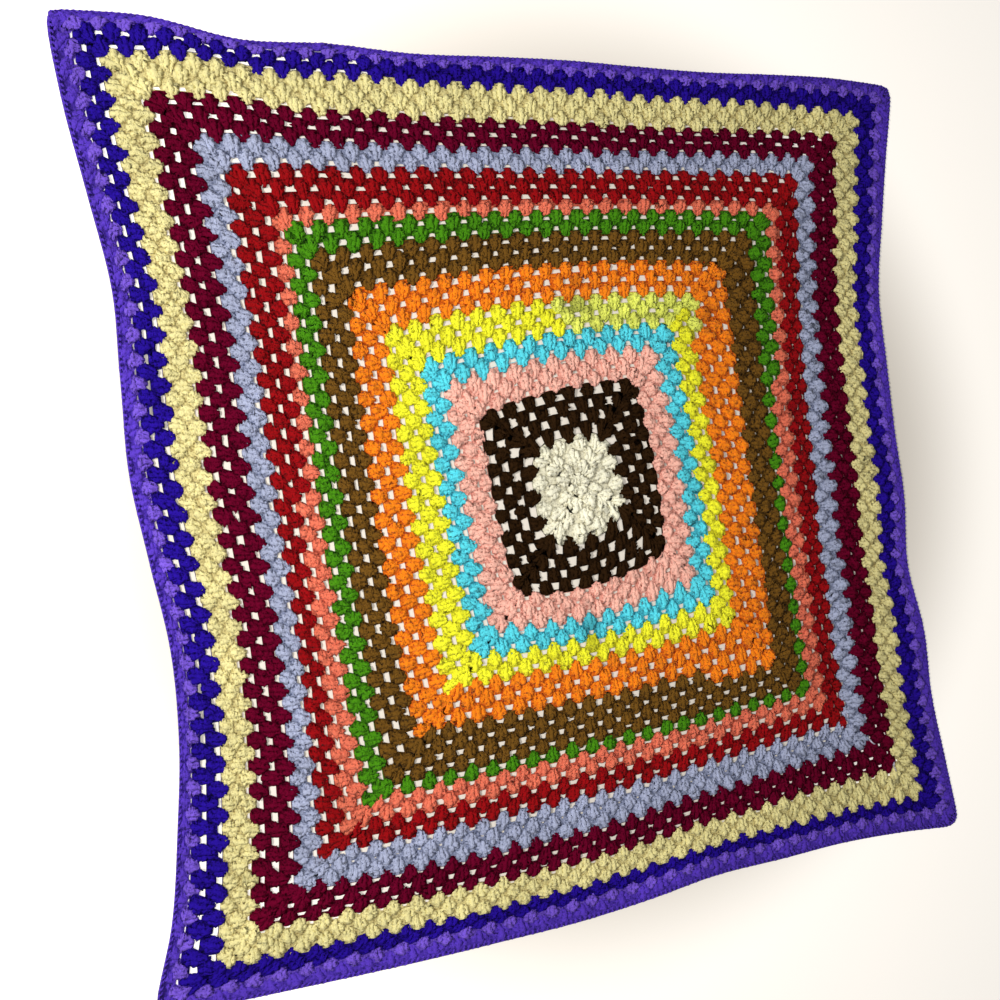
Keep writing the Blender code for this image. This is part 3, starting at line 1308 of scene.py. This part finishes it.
@dataclass
class Studio:
    """Floor, lights and camera round the afghan."""

    plan: SquarePlan
    lamps: tuple[Lamp, ...] = (
        Lamp("key", (-1.5, 0.20, 1.4), (-0.2, 0.0, 0.0), 0.22, 28.6),
        Lamp("over", (-0.28, -0.02, 1.02), (-0.28, -0.02, 0.0), 0.40, 4.7),
        Lamp("top", (0.3, 0.4, 2.6), (0.0, 0.0, 0.0), 2.0, 3.0),
    )
    camera_place: tuple[float, float, float] = (-0.3461, 0.0011, 0.9262)
    camera_look: tuple[float, float, float] = (0.2576, -0.0176, -0.9661)
    picture_up: tuple[float, float, float] = (0.0815, 0.9967, 0.0035)
    lens_mm: float = 27.5
    sensor_mm: float = 36.0
    fitted_height_mm: float = 3.0
    floor_half: float = 4.0
    floor_roughness: float = 0.9
    floor_colour: tuple[float, float, float, float] = (0.82, 0.745, 0.64, 1.0)
    glow_colour: tuple[float, float, float, float] = (1.0, 0.98, 0.95, 1.0)
    glow_from: float = 0.46
    glow_full: float = 0.70
    glow: float = 0.56
    surround: float = 0.15

    def floor(self) -> bpy.types.Object:
        """Lays the plain pale floor, a little self-lit outside the afghan so that it stays evenly pale.

        Returns:
            The floor.
        """
        mesh = bpy.data.meshes.new("floor")
        half = self.floor_half
        corners = [(-half, -half, 0), (half, -half, 0), (half, half, 0), (-half, half, 0)]
        mesh.from_pydata(corners, [], [(0, 1, 2, 3)])
        paint = bpy.data.materials.new("floor_paint")
        paint.use_nodes = True
        shader = paint.node_tree.nodes["Principled BSDF"]
        shader.inputs["Base Color"].default_value = self.floor_colour
        shader.inputs["Roughness"].default_value = self.floor_roughness
        place = paint.node_tree.nodes.new("ShaderNodeTexCoord")
        away = paint.node_tree.nodes.new("ShaderNodeVectorMath")
        away.operation = "LENGTH"
        glow = paint.node_tree.nodes.new("ShaderNodeMapRange")
        glow.interpolation_type = "SMOOTHSTEP"
        glow.inputs["From Min"].default_value = self.glow_from
        glow.inputs["From Max"].default_value = self.glow_full
        glow.inputs["To Max"].default_value = self.glow
        shader.inputs["Emission Color"].default_value = self.glow_colour
        paint.node_tree.links.new(place.outputs["Object"], away.inputs[0])
        paint.node_tree.links.new(away.outputs["Value"], glow.inputs["Value"])
        paint.node_tree.links.new(glow.outputs["Result"], shader.inputs["Emission Strength"])
        mesh.materials.append(paint)
        made = bpy.data.objects.new("floor", mesh)
        bpy.context.scene.collection.objects.link(made)
        return made

    def lights(self) -> None:
        """Hangs the soft lights and sets the pale surroundings."""
        for lamp in self.lamps:
            light = bpy.data.lights.new(lamp.name, "AREA")
            light.shape = "DISK"
            light.size = lamp.size
            light.energy = lamp.watts
            made = bpy.data.objects.new(lamp.name, light)
            made.location = lamp.place
            aim = Vector(lamp.aim) - Vector(lamp.place)
            made.rotation_euler = aim.to_track_quat("-Z", "Y").to_euler()
            bpy.context.scene.collection.objects.link(made)
        world = bpy.data.worlds.new("studio")
        world.use_nodes = True
        backdrop = world.node_tree.nodes["Background"]
        backdrop.inputs["Color"].default_value = (1.0, 1.0, 1.0, 1.0)
        backdrop.inputs["Strength"].default_value = self.surround
        bpy.context.scene.world = world
        bpy.context.scene.view_settings.view_transform = "Standard"

    def camera(self) -> bpy.types.Object:
        """Sets the camera where the photograph was taken from.

        Returns:
            The camera.
        """
        data = bpy.data.cameras.new("camera")
        data.sensor_width = self.sensor_mm
        data.lens = self.lens_mm
        made = bpy.data.objects.new("camera", data)
        back = -Vector(self.camera_look).normalized()
        right = Vector(self.picture_up).cross(back).normalized()
        up = back.cross(right)
        turn = Matrix((right, up, back)).transposed().to_4x4()
        shift = Vector((*self.plan.middle, -self.fitted_height_mm)) * MM
        made.matrix_world = Matrix.Translation(Vector(self.camera_place) - shift) @ turn
        bpy.context.scene.collection.objects.link(made)
        bpy.context.scene.camera = made
        return made


def main() -> None:
    """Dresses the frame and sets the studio."""
    logging.basicConfig(level=logging.INFO, format="%(message)s")
    plan = SquarePlan()
    pattern = Pattern()
    worked = set(pattern.yarns.values())
    pieces = [Stitches(plan, pattern, yarn).dress() for yarn in Yarn if yarn in worked]
    pieces.append(Edging(plan).dress())
    pieces.append(Tails(plan).dress())
    ground = Ground(plan, pattern).dress()
    for piece in (ground, *pieces):
        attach(piece, "root")
        piece.data.calc_loop_triangles()
        LOG.info("%s: %d triangles", piece.name, len(piece.data.loop_triangles))
    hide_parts("afghan")
    studio = Studio(plan)
    studio.floor()
    studio.lights()
    studio.camera()


if __name__ == "__main__":
    main()
